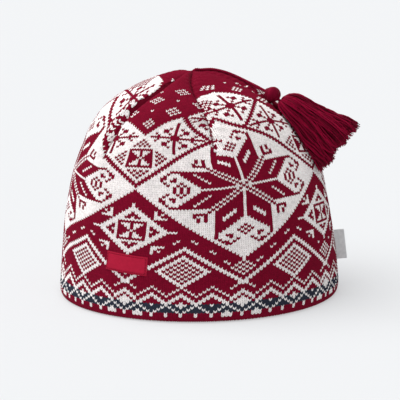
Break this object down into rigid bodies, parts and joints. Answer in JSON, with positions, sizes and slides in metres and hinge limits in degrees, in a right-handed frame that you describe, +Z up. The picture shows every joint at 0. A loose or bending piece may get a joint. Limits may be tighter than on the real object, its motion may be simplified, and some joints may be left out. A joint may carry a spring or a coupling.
{
  "type": "knitted winter hat",
  "caption": "Adult knit winter cap with a sewn dome, a folded rim, a cord with a knot and tassel on top, a woven front label and a side tag.",
  "frame": {"origin": "centre of the rim's outline, in the plane that the rim rests on", "axes": "+Z up through the top of the crown, -Y the way the wearer looks, +X to the wearer's left"},
  "size_m": [0.1927, 0.1934, 0.147],
  "materials": {
    "knit_wool": "fine two-layer patterned knit in crimson, off-white and dark navy wool, matt with soft fibres",
    "tassel_wool": "twisted crimson wool yarn with a soft sheen along the strands",
    "label_cloth": "tightly woven satin-edged tape in bright red, stitched round its edge",
    "tag_tape": "pale grey woven tape, folded once"
  },
  "bodies": {
    "root": {"knit_body": "knit_wool", "tassel_cord": "tassel_wool", "cord_knot": "tassel_wool", "tassel": "tassel_wool", "front_label": "label_cloth", "side_tag": "tag_tape"}
  },
  "joints": []
}
